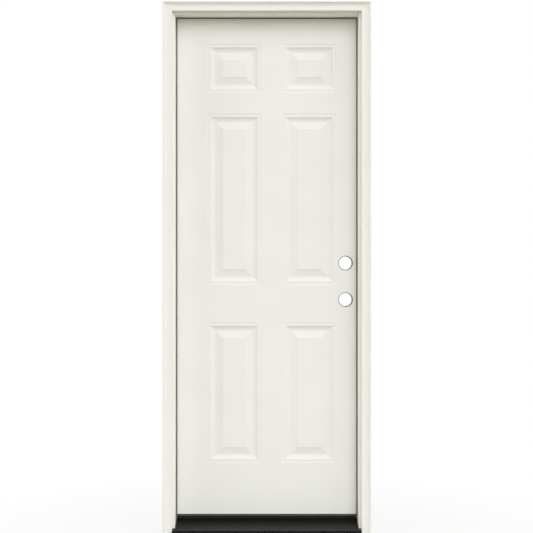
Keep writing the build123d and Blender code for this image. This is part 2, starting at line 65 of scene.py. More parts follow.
# Pressed relief of a panel: distance in from its edge and depth below the face
dip_end = (8.0, 1.5)
bead_end = (15.0, 0.5)
cove_end = (36.0, 8.5)
bevel_end = (59.5, 3.5)
field_start = (63.0, 1.2)
field_lead = 5.6
cove_steps = 16
press_round = 1.4
press_round_steps = 3
press_turn = 6.0
mitre_round = 2.0
mitre_steps = 3

# Sheet of the skins
skin_thick = 0.7
skin_return = 12.0
edge_round = 1.2
edge_steps = 4

# Lock preparation
bore_radius = 26.99
bore_backset = 60.3
lock_height = 863.8
deadbolt_spacing = 147.3
bore_segments = 72
lip_round = 2.5
lip_depth = 4.0
lip_steps = 5
faceplate_width = 25.4
faceplate_height = 57.2

# Hinges
hinge_height = 101.6
hinge_reach = 50.8
leaf_thick = 2.5
leaf_clear = 0.2
leaf_stand = 1.5
leaf_round = 15.9
leaf_round_steps = 10
barrel_radius = 6.35
barrel_round = 0.5
barrel_segments = 40
knuckle_count = 5
knuckle_gap = 0.4
knuckle_relief = 0.6
own_knuckles = {"jamb": (0, 2, 4), "door": (1, 3)}
hinge_names = ("top", "middle", "bottom")
pin_radius = 3.8
pin_hole_radius = 3.95
pin_head_radius = 5.6
pin_head_height = 3.0
pin_rim_height = 1.0
pin_head_steps = 6
screw_height_shares = (-0.375, -0.165, 0.165, 0.375)
screw_reach_shares = (0.62, 0.42, 0.62, 0.42)

# Screws
leaf_screw_head = 4.5
leaf_screw_shank = 2.2
hole_clear = 0.12
jamb_screw_length = 16.0
door_screw_length = 24.0
frame_screw_head = 4.8
frame_screw_shank = 2.4
frame_screw_taper = 3.0
frame_screw_length = 63.0
cap_screw_count = 4
cap_screw_radius = 3.0
cap_screw_collar = 6.0
cap_collar_height = 3.0
screw_segments = 32
screw_point = 4.0
screw_tip_share = 0.25
screw_rim = 0.4
recess_arm_share = 0.62
recess_half_width_share = 0.15
recess_depth_share = 0.4
recess_floor_share = 0.45

# Depths on the sill where its painted shade changes: near-black nose front and riser, paler deck between
nose_depth = -30.0
deck_start = -29.0
deck_end = 56.0
riser_depth = 69.5

# Widths of the worn or eased edges on the CAD pieces
timber_ease = 0.6
moulding_ease = 0.5
metal_ease = 0.35
seal_ease = 0.4
leaf_ease = 0.25
screw_ease = 0.08
ease_segments = 2
smooth_angle = 32.0
weld_reach = 0.01
flat_angle = 0.5

# Finishes: how far the bumps stand up, and how much the tone and the sheen vary
sheet_wave = 0.12
paint_peel = 0.012
painted_grain = 0.008
planed_bands = 0.05
planed_grain = 0.04
drawn_lines = 0.012
paint_tone_step = 3
metal_sheen_step = 0.06
plastic_sheen_step = 0.07
noise_middle = (0.3, 0.7)

# Stretch of a texture along the length of a piece
along_x = (0.04, 1.0, 1.0)
along_y = (1.0, 0.04, 1.0)
along_z = (1.0, 1.0, 0.04)

# Screen colours that several finishes share
white_steel = (237, 237, 230)
white_wood = (238, 237, 230)
pine_dark = (172, 140, 98)
pine_light = (210, 182, 140)


def linear(colour):
    """Linear RGBA of an 8-bit screen colour."""
    shares = [channel / 255 for channel in colour]
    return [s / 12.92 if s <= 0.04045 else ((s + 0.055) / 1.055) ** 2.4 for s in shares] + [1.0]


# Materials

def add_node(material, kind, **inputs):
    node = material.node_tree.nodes.new(kind)
    for name, value in inputs.items():
        node.inputs[name.replace("_", " ")].default_value = value
    return node


def link(material, start, end):
    material.node_tree.links.new(start, end)


def shader_of(material):
    return material.node_tree.nodes["Principled BSDF"]


def new_material(name, colour, roughness, metallic=0.0, specular=0.5):
    material = bpy.data.materials.new(name)
    material.use_nodes = True
    shader = shader_of(material)
    shader.inputs["Base Color"].default_value = linear(colour)
    shader.inputs["Roughness"].default_value = roughness
    shader.inputs["Metallic"].default_value = metallic
    shader.inputs["Specular IOR Level"].default_value = specular
    return material


def object_place(material, stretch=(1.0, 1.0, 1.0)):
    """Place on the piece in metres, stretched along its grain."""
    place = add_node(material, "ShaderNodeTexCoord")
    mapping = add_node(material, "ShaderNodeMapping", Scale=stretch)
    link(material, place.outputs["Object"], mapping.inputs["Vector"])
    return mapping.outputs["Vector"]


def noise(material, scale, detail=3.0, stretch=(1.0, 1.0, 1.0), distortion=0.0):
    texture = add_node(material, "ShaderNodeTexNoise", Scale=scale, Detail=detail, Distortion=distortion)
    link(material, object_place(material, stretch), texture.inputs["Vector"])
    return texture.outputs["Fac"]


def spread(material, value, low, high, start=0.0, end=1.0):
    """Value taken from one range to another."""
    ranged = add_node(material, "ShaderNodeMapRange")
    for name, number in (("From Min", start), ("From Max", end), ("To Min", low), ("To Max", high)):
        ranged.inputs[name].default_value = number
    link(material, value, ranged.inputs["Value"])
    return ranged.outputs["Result"]


def colour_along(material, value, stops):
    """Drives the base colour through tones, each given with its place along a value."""
    ramp = add_node(material, "ShaderNodeValToRGB")
    tones = ramp.color_ramp.elements
    while len(tones) < len(stops):
        tones.new(1.0)
    for tone, (place, colour) in zip(tones, stops):
        tone.position = place
        tone.color = linear(colour)
    link(material, value, ramp.inputs["Fac"])
    link(material, ramp.outputs["Color"], shader_of(material).inputs["Base Color"])


def colour_between(material, value, dark, light, reach=noise_middle):
    """Drives the base colour from one tone to another over a reach of a value."""
    colour_along(material, value, ((reach[0], dark), (reach[1], light)))


def roughness_between(material, value, low, high):
    sheen = spread(material, value, low, high, *noise_middle)
    link(material, sheen, shader_of(material).inputs["Roughness"])


def bumps(material, *layers):
    """Stacks bump layers, each a height value with how far it stands up in millimetres."""
    normal = None
    for height, stand in layers:
        bump = add_node(material, "ShaderNodeBump", Strength=1.0, Distance=stand * mm)
        link(material, height, bump.inputs["Height"])
        if normal:
            link(material, normal, bump.inputs["Normal"])
        normal = bump.outputs["Normal"]
    link(material, normal, shader_of(material).inputs["Normal"])


def shaded(colour):
    return tuple(channel - paint_tone_step for channel in colour)


def painted_steel(name, colour):
    """Primer sprayed on thin sheet: faint orange peel, slow waves and a slightly uneven sheen."""
    material = new_material(name, colour, roughness=0.42, specular=0.1)
    colour_between(material, noise(material, scale=5.0, detail=4.0), shaded(colour), colour)
    roughness_between(material, noise(material, scale=14.0), low=0.38, high=0.48)
    waves = noise(material, scale=2.6, detail=1.0)
    peel = noise(material, scale=420.0, detail=2.0)
    bumps(material, (waves, sheet_wave), (peel, paint_peel))
    return material


def painted_wood(name, colour, grain):
    """Primer on milled timber, with the grain just showing through along the piece."""
    material = new_material(name, colour, roughness=0.5, specular=0.4)
    streaks = noise(material, scale=60.0, detail=5.0, stretch=grain, distortion=0.6)
    colour_between(material, streaks, shaded(colour), colour)
    roughness_between(material, noise(material, scale=22.0), low=0.44, high=0.56)
    peel = noise(material, scale=500.0, detail=2.0)
    bumps(material, (streaks, painted_grain), (peel, paint_peel))
    return material


def timber(name, dark, light, grain):
    """Planed softwood with growth bands along the piece."""
    material = new_material(name, light, roughness=0.62, specular=0.3)
    wave = add_node(material, "ShaderNodeTexWave", Scale=38.0, Distortion=5.0, Detail=3.0, Detail_Scale=1.6)
    wave.bands_direction = "DIAGONAL"
    link(material, object_place(material, grain), wave.inputs["Vector"])
    bands = wave.outputs["Fac"]
    colour_between(material, bands, dark, light, reach=(0.1, 0.8))
    fibres = noise(material, scale=300.0, detail=4.0, stretch=grain)
    bumps(material, (bands, planed_bands), (fibres, planed_grain))
    return material


def uneven_sheen(material, roughness, step, scale, detail=3.0):
    roughness_between(material, noise(material, scale, detail), roughness - step, roughness + step)


def extruded_metal(name, dark, light, roughness, metallic, grain, specular=0.5):
    """Metal with fine lines along the piece from drawing or brushing."""
    material = new_material(name, light, roughness, metallic, specular)
    lines = noise(material, scale=900.0, stretch=grain)
    colour_between(material, lines, dark, light)
    uneven_sheen(material, roughness, metal_sheen_step, scale=30.0)
    bumps(material, (lines, drawn_lines))
    return material


def tread_painted_shade(name, nose, deck, riser, roughness):
    """Dark anodised metal with painted shade: near-black on the nose front and up the riser, paler on the
    deck between them.
    """
    material = new_material(name, deck, roughness, metallic=0.3, specular=0.05)
    place = add_node(material, "ShaderNodeSeparateXYZ")
    link(material, object_place(material), place.inputs["Vector"])
    depth = spread(material, place.outputs["Y"], 0.0, 1.0, nose_depth * mm, riser_depth * mm)
    reach = riser_depth - nose_depth
    tones = ((nose_depth, nose), (deck_start, deck), (deck_end, deck), (riser_depth, riser))
    colour_along(material, depth, [((level - nose_depth) / reach, tone) for level, tone in tones])
    uneven_sheen(material, roughness, metal_sheen_step, scale=30.0)
    bumps(material, (noise(material, scale=900.0, stretch=along_x), drawn_lines))
    return material


def moulded(name, dark, light, roughness, cell, stand, specular=0.4):
    """Moulded or extruded plastic and rubber with a fine pebbled skin."""
    material = new_material(name, light, roughness, specular=specular)
    colour_between(material, noise(material, scale=35.0, detail=4.0), dark, light)
    uneven_sheen(material, roughness, plastic_sheen_step, scale=60.0, detail=2.0)
    bumps(material, (noise(material, scale=cell, detail=2.0), stand))
    return material


def speckled(name, dark, light, roughness, cell, stand):
    """Filled or foamed stuff with cells that show."""
    material = new_material(name, light, roughness, specular=0.25)
    cells = add_node(material, "ShaderNodeTexVoronoi", Scale=cell)
    link(material, object_place(material), cells.inputs["Vector"])
    colour_between(material, cells.outputs["Distance"], dark, light, reach=(0.1, 0.6))
    bumps(material, (cells.outputs["Distance"], stand))
    return material


finishes = {
    "primed_steel": painted_steel("primed_steel", white_steel),
    "primed_wood": painted_wood("primed_wood_upright", white_wood, along_z),
    "bare_timber": timber("softwood_upright", pine_dark, pine_light, along_z),
    "foam": speckled(
        "insulation_foam", dark=(196, 178, 118), light=(226, 210, 158), roughness=0.85, cell=700.0,
        stand=0.15),
    # Sill tread: one dark anodised metal with painted shade on its nose and riser
    "dark_aluminium": tread_painted_shade(
        "dark_anodised", nose=(2, 2, 2), deck=(49, 49, 45), riser=(2, 2, 2), roughness=0.38),
    "composite": speckled(
        "grey_composite", dark=(96, 92, 84), light=(128, 122, 110), roughness=0.75, cell=420.0, stand=0.08),
    "dark_composite": moulded(
        "dark_composite", dark=(15, 15, 14), light=(22, 22, 20), roughness=0.6, cell=520.0, stand=0.03,
        specular=0.12),
    "seal_vinyl": moulded(
        "seal_vinyl", dark=(79, 73, 59), light=(93, 87, 72), roughness=0.55, cell=600.0, stand=0.02),
    "seal_foam": speckled(
        "seal_foam", dark=(52, 50, 46), light=(74, 71, 66), roughness=0.9, cell=900.0, stand=0.12),
    "sweep_vinyl": moulded(
        "sweep_vinyl", dark=(48, 48, 44), light=(62, 61, 57), roughness=0.5, cell=600.0, stand=0.02),
    "hinge_steel": extruded_metal(
        "satin_steel", dark=(150, 150, 147), light=(166, 166, 162), roughness=0.36, metallic=1.0,
        grain=along_y),
    "screw_steel": extruded_metal(
        "screw_steel", dark=(186, 186, 183), light=(208, 208, 205), roughness=0.26, metallic=1.0,
        grain=along_y),
}
wood_level = painted_wood("primed_wood_level", white_wood, along_x)
softwood_level = timber("softwood_level", pine_dark, pine_light, along_x)
strand_wood = timber("strand_wood", dark=(128, 118, 98), light=(160, 150, 128), grain=along_z)
# Dark grey on the turned-in rim of each bore: painted shade that stands for the shaded wall of the hole
bore_rim_shade = extruded_metal(
    "bore_rim_painted_shade", dark=(52, 51, 48), light=(68, 67, 63), roughness=0.5, metallic=0.0, grain=along_y,
    specular=0.2)
skin_materials = [finishes["primed_steel"], bore_rim_shade]
rim_material = skin_materials.index(bore_rim_shade)
level_nodes = {
    "head_jamb": wood_level,
    "brickmould_head": wood_level,
    "top_rail": softwood_level,
    "bottom_rail": softwood_level,
    "lock_block": strand_wood,
}

node_slot = {part["node"]: part["material_slot"] for part in record["subparts"]}
node_body = {node: body for body, nodes in record["behaviour"]["bodies"].items() for node in nodes}


# Mesh helpers

def add_ring(work, points):
    """Vertices at points given in millimetres."""
    return [work.verts.new(Vector(point) * mm) for point in points]


def join_rings(work, outer, inner, material=0):
    """Quads between two closed rings of the same count."""
    for index in range(len(outer)):
        pair = (index - 1, index)
        face = work.faces.new((outer[pair[0]], outer[pair[1]], inner[pair[1]], inner[pair[0]]))
        face.material_index = material


def fill_between(work, rings):
    """Flat face bounded by the first ring and pierced by the others."""
    edges = []
    for ring in rings:
        for index in range(len(ring)):
            pair = (ring[index - 1], ring[index])
            edges.append(work.edges.get(pair) or work.edges.new(pair))
    bmesh.ops.triangle_fill(work, use_beauty=True, edges=edges)


def around(start, direction):
    """Function that gives the point at a radius, a turn and a distance along a direction."""
    along = Vector(direction).normalized()
    across = along.orthogonal().normalized()
    up = along.cross(across)
    origin = Vector(start)
    return lambda radius, turn, reach: (
        origin + along * reach + across * radius * math.cos(turn) + up * radius * math.sin(turn))


def turned(work, start, direction, profile, segments, closed=False):
    """Rings turned about a direction from (radius, distance along) steps, joined up. Returns the rings."""
    place = around(start, direction)
    turns = [2 * math.pi * step / segments for step in range(segments)]
    rings = [add_ring(work, [place(radius, turn, reach) for turn in turns]) for radius, reach in profile]
    for first, second in zip(rings, rings[1:]):
        join_rings(work, first, second)
    if closed:
        join_rings(work, rings[-1], rings[0])
    return rings


def smooth_mesh(work, name):
    """Smooth-shaded mesh from finished faces."""
    for face in work.faces:
        face.smooth = True
    mesh = bpy.data.meshes.new(name)
    work.to_mesh(mesh)
    work.free()
    return mesh


def closed_mesh(work, name):
    """Smooth-shaded mesh with its faces turned outwards."""
    bmesh.ops.recalc_face_normals(work, faces=work.faces)
    return smooth_mesh(work, name)


# Pieces

def add_piece(name, mesh, materials, *nodes):
    """Object that stands for CAD nodes and moves with their body."""
    piece = bpy.data.objects.new(name, mesh)
    bpy.context.scene.collection.objects.link(piece)
    for material in materials:
        mesh.materials.append(material)
    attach(piece, node_body[nodes[0]])
    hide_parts(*nodes)
    return piece


def finish_of(node):
    return level_nodes.get(node, finishes[node_slot[node]])


def even_normals(piece):
    """Shading that keeps large flats flat beside small rounds."""
    weights = piece.modifiers.new("even_normals", "WEIGHTED_NORMAL")
    weights.mode = "FACE_AREA"
    weights.keep_sharp = True


def ease_edges(piece, width):
    bevel = piece.modifiers.new("eased_edges", "BEVEL")
    bevel.width = width * mm
    bevel.segments = ease_segments
    bevel.limit_method = "ANGLE"
    bevel.angle_limit = math.radians(smooth_angle)
    even_normals(piece)


def eased(node, width):
    """Copy of a CAD piece with its hard corners eased, in its own finish."""
    mesh = frame["nodes"][node].data.copy()
    mesh.materials.clear()
    work = bmesh.new()
    work.from_mesh(mesh)
    bmesh.ops.remove_doubles(work, verts=work.verts, dist=weld_reach * mm)
    bmesh.ops.dissolve_limit(work, angle_limit=math.radians(flat_angle), verts=work.verts, edges=work.edges)
    for face in work.faces:
        face.smooth = True
    work.to_mesh(mesh)
    work.free()
    piece = add_piece(node + "_eased", mesh, [finish_of(node)], node)
    ease_edges(piece, width)
    return piece


# Skins of the slab

slab_low, slab_high = (Vector(corner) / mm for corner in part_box("exterior_skin"))
slab_half = slab_high.x
slab_bottom = slab_low.z
slab_top = slab_high.z
slab_front = slab_low.y
slab_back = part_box("interior_skin")[1][1] / mm
lock_x = slab_half - bore_backset
bore_heights = (slab_bottom + lock_height, slab_bottom + lock_height + deadbolt_spacing)
hinge_nodes = ("hinge_bottom_door_leaf", "hinge_middle_door_leaf", "hinge_top_door_leaf")
hinge_lows = [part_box(node)[0][2] / mm for node in hinge_nodes]
panel_width = (2 * slab_half - hinge_margin - lock_margin - mullion_width) / 2
panel_lefts = (hinge_margin - slab_half, slab_half - lock_margin - panel_width)
middle_bottom = slab_bottom + bottom_margin + bottom_panel_height + lock_bar_height
top_panel_bottom = slab_top - top_margin - top_panel_height
panel_rows = (
    (slab_bottom + bottom_margin, bottom_panel_height),
    (middle_bottom, top_panel_bottom - frieze_bar_height - middle_bottom),
    (top_panel_bottom, top_panel_height),
)


def softened(points, reach, steps):
    """Rounds each sharp corner of an open profile over a short reach, and keeps the points of its arcs."""
    soft = [points[0]]
    for before, corner, after in zip(points, points[1:], points[2:]):
        corner = Vector(corner)
        back = Vector(before) - corner
        ahead = Vector(after) - corner
        if (-back).angle(ahead) < math.radians(press_turn):
            soft.append(tuple(corner))
            continue
        cut = min(reach, back.length / 2, ahead.length / 2)
        start = corner + back.normalized() * cut
        end = corner + ahead.normalized() * cut
        for step in range(steps + 1):
            share = step / steps
            rest = 1 - share
            soft.append(tuple(start * rest ** 2 + corner * 2 * share * rest + end * share ** 2))
    soft.append(points[-1])
    return soft


def cove_points():
    """Arc from the bead down to the lowest line of the relief, level at its end."""
    run = cove_end[0] - bead_end[0]
    drop = cove_end[1] - bead_end[1]
    bow = (run * run + drop * drop) / (2 * drop)
    sweep = math.asin(run / bow)
    turns = [sweep * (1 - step / cove_steps) for step in range(1, cove_steps + 1)]
    inset, depth = cove_end
    return [(inset - bow * math.sin(turn), depth - bow * (1 - math.cos(turn))) for turn in turns]


def relief_profile():
    """Distance in and depth, from the edge of a panel to its field."""
    field = (field_start[0] + field_lead, field_start[1])
    edge = [(-press_round, 0.0), (0.0, 0.0), dip_end, bead_end]
    sharp = edge + cove_points() + [bevel_end, field_start, field]
    return softened(sharp, press_round, press_round_steps)


def rounded_ring(left, bottom, width, height, inset, radius):
    """Corners of a rectangle, each turned over a small radius, as (x, z) going round."""
    low_x, high_x = left + inset + radius, left + width - inset - radius
    low_z, high_z = bottom + inset + radius, bottom + height - inset - radius
    ring = []
    for index, (x, z) in enumerate(((high_x, low_z), (high_x, high_z), (low_x, high_z), (low_x, low_z))):
        for step in range(mitre_steps + 1):
            turn = math.radians(90 * (index - 1 + step / mitre_steps))
            ring.append((x + radius * math.cos(turn), z + radius * math.sin(turn)))
    return ring


def circle(x, z, radius, segments):
    turns = [2 * math.pi * step / segments for step in range(segments)]
    return [(x + radius * math.cos(turn), z + radius * math.sin(turn)) for turn in turns]


class Skin:
    """One pressed sheet, built on the plane of its face with depth measured into the slab."""

    def __init__(self, face_y, inward):
        self.work = bmesh.new()
        self.face_y = face_y
        self.inward = inward

    def vertex(self, x, z, depth):
        return self.work.verts.new((x * mm, (self.face_y + self.inward * depth) * mm, z * mm))

    def ring(self, points, depth):
        return [self.vertex(x, z, depth) for x, z in points]

    def panel(self, left, bottom, height):
        """Relief of one panel. Returns the ring where it leaves the flat of the face."""
        rings = []
        for inset, depth in relief_profile():
            points = rounded_ring(left, bottom, panel_width, height, inset, mitre_round)
            rings.append(self.ring(points, depth))
        for outer, inner in zip(rings, rings[1:]):
            join_rings(self.work, outer, inner)
        self.work.faces.new(rings[-1])
        return rings[0]

    def bore(self, height):
        """Hole with its rim turned in. Returns the ring where it leaves the flat of the face."""
        rings = []
        for step in range(lip_steps + 1):
            turn = math.radians(90 * step / lip_steps)
            radius = bore_radius + lip_round * (1 - math.sin(turn))
            depth = lip_round * (1 - math.cos(turn))
            rings.append(self.ring(circle(lock_x, height, radius, bore_segments), depth))
        rings.append(self.ring(circle(lock_x, height, bore_radius, bore_segments), lip_depth))
        # The turned-in rim takes the dark grey of painted shade
        for outer, inner in zip(rings, rings[1:]):
            join_rings(self.work, outer, inner, rim_material)
        return rings[0]

    def edge(self, side, notches):
        """Bent long edge and its return. notches are (low, high, depth where the return is cut away).
        Gives the vertices along the flat of the face, from the bottom up."""
        levels = sorted({slab_bottom, slab_top, *(z for low, high, start in notches for z in (low, high))})
        turns = [math.radians(90 * step / edge_steps) for step in range(edge_steps + 1)]
        bend = slab_half - edge_round
        path = [(bend + edge_round * math.sin(turn), edge_round * (1 - math.cos(turn))) for turn in turns]
        starts = {start for low, high, start in notches if start > edge_round}
        path += [(slab_half, depth) for depth in sorted(starts | {skin_return})]
        columns = [[self.vertex(side * x, z, depth) for x, depth in path] for z in levels]
        for low, below, above in zip(levels, columns, columns[1:]):
            cut = [start for bottom, top, start in notches if bottom <= low < top]
            for index in range(len(path) - 1):
                if not cut or path[index][1] < cut[0]:
                    self.work.faces.new((below[index], below[index + 1], above[index + 1], above[index]))
        return [column[0] for column in columns]

    def finish(self, name, node):
        work = self.work
        loose = [vertex for vertex in work.verts if not vertex.link_faces]
        bmesh.ops.delete(work, geom=loose, context="VERTS")
        bmesh.ops.recalc_face_normals(work, faces=work.faces)
        largest = max(work.faces, key=lambda face: face.calc_area())
        if largest.normal.y * self.inward > 0:
            bmesh.ops.reverse_faces(work, faces=work.faces)
        piece = add_piece(name, smooth_mesh(work, name), skin_materials, node)
        sheet = piece.modifiers.new("sheet", "SOLIDIFY")
        sheet.thickness = skin_thick * mm
        sheet.offset = -1
        even_normals(piece)
        return piece


def hinge_notches(start):
    return [(low - leaf_clear, low + hinge_height + leaf_clear, start) for low in hinge_lows]


def faceplate_notches():
    half = faceplate_height / 2
    start = (slab_back - slab_front - faceplate_width) / 2
    return [(height - half, height + half, start) for height in bore_heights]


def notched_run(skin, run, pocket):
    """Edge of the flat face stepped in round each hinge leaf."""
    stepped = [run[0]]
    for index, vertex in enumerate(run[1:-1]):
        inner = skin.vertex(pocket - slab_half, vertex.co.z / mm, 0)
        opens = index % 2 == 0
        stepped += [vertex, inner] if opens else [inner, vertex]
    return stepped + [run[-1]]


def pressed_skin(name, node, face_y, inward, hinge_start, pocket):
    """Face sheet with six panels, two bores and both long edges returned."""
    skin = Skin(face_y, inward)
    rings = [skin.panel(left, bottom, height) for bottom, height in panel_rows for left in panel_lefts]
    rings += [skin.bore(height) for height in bore_heights]
    lock_side = skin.edge(1, faceplate_notches())
    hinge_side = skin.edge(-1, hinge_notches(hinge_start))
    if pocket:
        hinge_side = notched_run(skin, hinge_side, pocket)
    rings.append(lock_side + hinge_side[::-1])
    fill_between(skin.work, rings)
    return skin.finish(name, node)


leaf_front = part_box(hinge_nodes[0])[0][1] / mm - leaf_clear
pressed_skin(
    "exterior_face", "exterior_skin", slab_front, inward=1, hinge_start=leaf_front - slab_front, pocket=0.0)
pressed_skin(
    "interior_face", "interior_skin", slab_back, inward=-1, hinge_start=0.0, pocket=leaf_thick + leaf_clear)


# Frame, sill and slab pieces with eased edges

for node in ("hinge_jamb", "strike_jamb", "head_jamb", "hinge_stile", "lock_stile", "top_rail",
             "bottom_rail"):
    eased(node, timber_ease)
for node in ("brickmould_hinge_side", "brickmould_strike_side", "brickmould_head"):
    eased(node, moulding_ease)
for node in ("sill_deck", "sill_cap", "sill_substrate"):
    eased(node, metal_ease)
for node in ("weatherstrip_hinge_side", "weatherstrip_strike_side", "weatherstrip_head", "door_sweep",
             "corner_pad_hinge_side", "corner_pad_strike_side"):
    eased(node, seal_ease)


# Hinges and screws

def hinge_place(kind, name):
    """Axis and lower end of a hinge, in millimetres, from one of its leaves."""
    low, high = (Vector(corner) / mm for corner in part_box(f"hinge_{name}_{kind}_leaf"))
    return Vector(((low.x + high.x) / 2, high.y - barrel_radius, low.z))


def leaf_outline(kind, low):
    """Edge of a leaf seen along X, as depth from the axis and height, with tabs into its knuckles."""
    height = (hinge_height + knuckle_gap) / knuckle_count
    plate_edge = -barrel_radius - knuckle_relief
    tab_edge = -barrel_radius / 2
    outline = [] if 0 in own_knuckles[kind] else [(plate_edge, low)]
    for index in own_knuckles[kind]:
        start = low + index * height
        end = start + height - knuckle_gap
        if index > 0:
            outline.append((plate_edge, start))
        outline += [(tab_edge, start), (tab_edge, end)]
        if index < knuckle_count - 1:
            outline.append((plate_edge, end))
    if knuckle_count - 1 not in own_knuckles[kind]:
        outline.append((plate_edge, low + hinge_height))
    corner_y = leaf_round - hinge_reach
    for first, corner_z in ((90, low + hinge_height - leaf_round), (180, low + leaf_round)):
        for step in range(leaf_round_steps + 1):
            turn = math.radians(first + 90 * step / leaf_round_steps)
            outline.append((corner_y + leaf_round * math.cos(turn), corner_z + leaf_round * math.sin(turn)))
    return outline


def leaf_screw_places(axis, side):
    middle = axis.z + hinge_height / 2
    shares = zip(screw_height_shares, screw_reach_shares)
    return [Vector((axis.x + side * leaf_stand, axis.y - reach * hinge_reach, middle + rise * hinge_height))
            for rise, reach in shares]


def leaf_sheet(work, kind, axis, side):
    """Plate of a leaf with its countersunk holes."""
    outline = leaf_outline(kind, axis.z)
    near = axis.x + side * leaf_stand
    far = near + side * leaf_thick
    faces = [[add_ring(work, [(x, axis.y + y, z) for y, z in outline])] for x in (near, far)]
    join_rings(work, faces[0][0], faces[1][0])
    hole = [(leaf_screw_head + hole_clear, 0), (leaf_screw_shank + hole_clear, leaf_thick)]
    for place in leaf_screw_places(axis, side):
        rings = turned(work, place, (side, 0, 0), hole, screw_segments)
        faces[0].append(rings[0])
        faces[1].append(rings[1])
    for rings in faces:
        fill_between(work, rings)


def knuckles(work, kind, axis):
    """Rolled barrel sections with softened ends."""
    pitch = (hinge_height + knuckle_gap) / knuckle_count
    length = pitch - knuckle_gap
    neck = barrel_radius - barrel_round
    profile = [(pin_hole_radius, 0), (neck, 0), (barrel_radius, barrel_round),
               (barrel_radius, length - barrel_round), (neck, length), (pin_hole_radius, length)]
    for index in own_knuckles[kind]:
        turned(work, axis + Vector((0, 0, index * pitch)), (0, 0, 1), profile, barrel_segments, closed=True)


def hinge_leaf(kind, name, side):
    axis = hinge_place(kind, name)
    work = bmesh.new()
    leaf_sheet(work, kind, axis, side)
    knuckles(work, kind, axis)
    node = f"hinge_{name}_{kind}_leaf"
    piece = add_piece(node + "_formed", closed_mesh(work, node), [finish_of(node)], node)
    ease_edges(piece, leaf_ease)


def hinge_pin(name):
    """Loose pin with a domed head."""
    axis = hinge_place("jamb", name)
    rim = hinge_height + pin_rim_height
    dome = pin_head_height - pin_rim_height
    turns = [math.radians(90 * step / pin_head_steps) for step in range(pin_head_steps)]
    profile = [(pin_radius, 0), (pin_radius, hinge_height), (pin_head_radius, hinge_height)]
    profile += [(pin_head_radius * math.cos(turn), rim + dome * math.sin(turn)) for turn in turns]
    work = bmesh.new()
    rings = turned(work, axis, (0, 0, 1), profile, barrel_segments)
    work.faces.new(rings[0])
    work.faces.new(rings[-1])
    node = f"hinge_{name}_pin"
    piece = add_piece(node + "_domed", closed_mesh(work, node), [finish_of(node)], node)
    even_normals(piece)


def cross_outline(arm, half_width):
    """Corners of a cross, going round."""
    corners = [(arm, -half_width), (arm, half_width), (half_width, half_width)]
    outline = []
    for quarter in range(4):
        turn = Matrix.Rotation(math.radians(90 * quarter), 2)
        outline += [turn @ Vector(corner) for corner in corners]
    return outline


def add_screw(work, start, direction, profile):
    """Screw turned from a profile, with a cross recess sunk in its head."""
    rings = turned(work, start, direction, profile, screw_segments)
    place = around(start, direction)
    head = profile[0][0]
    cross = cross_outline(head * recess_arm_share, head * recess_half_width_share)
    depth = head * recess_depth_share
    corners = [(corner.length, math.atan2(corner.y, corner.x)) for corner in cross]
    rim = add_ring(work, [place(radius, turn, 0) for radius, turn in corners])
    floor = add_ring(work, [place(radius * recess_floor_share, turn, depth) for radius, turn in corners])
    join_rings(work, rim, floor)
    work.faces.new(floor)
    work.faces.new(rings[-1])
    fill_between(work, [rings[0], rim])


def wood_screw(head, shank, taper, length):
    """Profile of a countersunk screw down to its point."""
    return [(head - screw_rim, 0), (head, screw_rim), (shank, taper), (shank, length - screw_point),
            (shank * screw_tip_share, length)]


def screw_piece(node, places, profile):
    """All screws of one CAD node, each given by its start and direction."""
    work = bmesh.new()
    for start, direction in places:
        add_screw(work, start, direction, profile)
    piece = add_piece(node + "_recessed", closed_mesh(work, node), [finish_of(node)], node)
    ease_edges(piece, screw_ease)


def leaf_screws(kind, side, length):
    profile = wood_screw(leaf_screw_head, leaf_screw_shank, leaf_thick, length)
    places = []
    for name in hinge_names:
        starts = leaf_screw_places(hinge_place(kind, name), side)
        places += [(start, (side, 0, 0)) for start in starts]
    screw_piece(f"hinge_{kind}_screws", places, profile)


def frame_screws(node):
    """Screws through both jamb legs, their heads flush with the backs."""
    low, high = (Vector(corner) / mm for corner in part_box(node))
    height = (low.z + high.z) / 2
    depths = (low.y + frame_screw_head, high.y - frame_screw_head)
    profile = wood_screw(frame_screw_head, frame_screw_shank, frame_screw_taper, frame_screw_length)
    places = [((side * high.x, depth, height), (-side, 0, 0)) for depth in depths for side in (-1, 1)]
    screw_piece(node, places, profile)


def cap_screws(node):
    """Adjusting screws that stand on the channel floor."""
    low, high = (Vector(corner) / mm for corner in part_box(node))
    length = high.z - low.z
    pitch = (high.x - low.x - 2 * cap_screw_collar) / (cap_screw_count - 1)
    collar = length - cap_collar_height
    profile = [(cap_screw_radius - screw_rim, 0), (cap_screw_radius, screw_rim), (cap_screw_radius, collar),
               (cap_screw_collar, collar), (cap_screw_collar, length)]
    depth = (low.y + high.y) / 2
    places = [((low.x + cap_screw_collar + index * pitch, depth, high.z), (0, 0, -1))
              for index in range(cap_screw_count)]
    screw_piece(node, places, profile)


for hinge_name in hinge_names:
    hinge_leaf("jamb", hinge_name, -1)
    hinge_leaf("door", hinge_name, 1)
    hinge_pin(hinge_name)
leaf_screws("jamb", -1, jamb_screw_length)
leaf_screws("door", 1, door_screw_length)
frame_screws("jamb_sill_screws")
frame_screws("jamb_head_screws")
cap_screws("sill_cap_screws")


# CAD pieces that stay as they are, in their own finish

for node, piece in frame["nodes"].items():
    if not piece.hide_render:
        piece.data.materials.clear()
        piece.data.materials.append(finish_of(node))


# Studio: pale floor, broad soft lamps and a low warm surround

floor_radius = 9.0
floor_segments = 96
floor_sink = 0.5
floor_colour = (196, 194, 188)
floor_roughness = 0.9
shadow_reach = 1.4
shadow_share = 0.2
surround_light = (0.288, 0.25, 0.13)
lamp_tint = (0.965, 0.995, 1.135)
lamp_spread = 35.0
camera_place = (-0.0012, -5.032, 1.0549)
camera_lens = 85.48
camera_sensor = 36.0

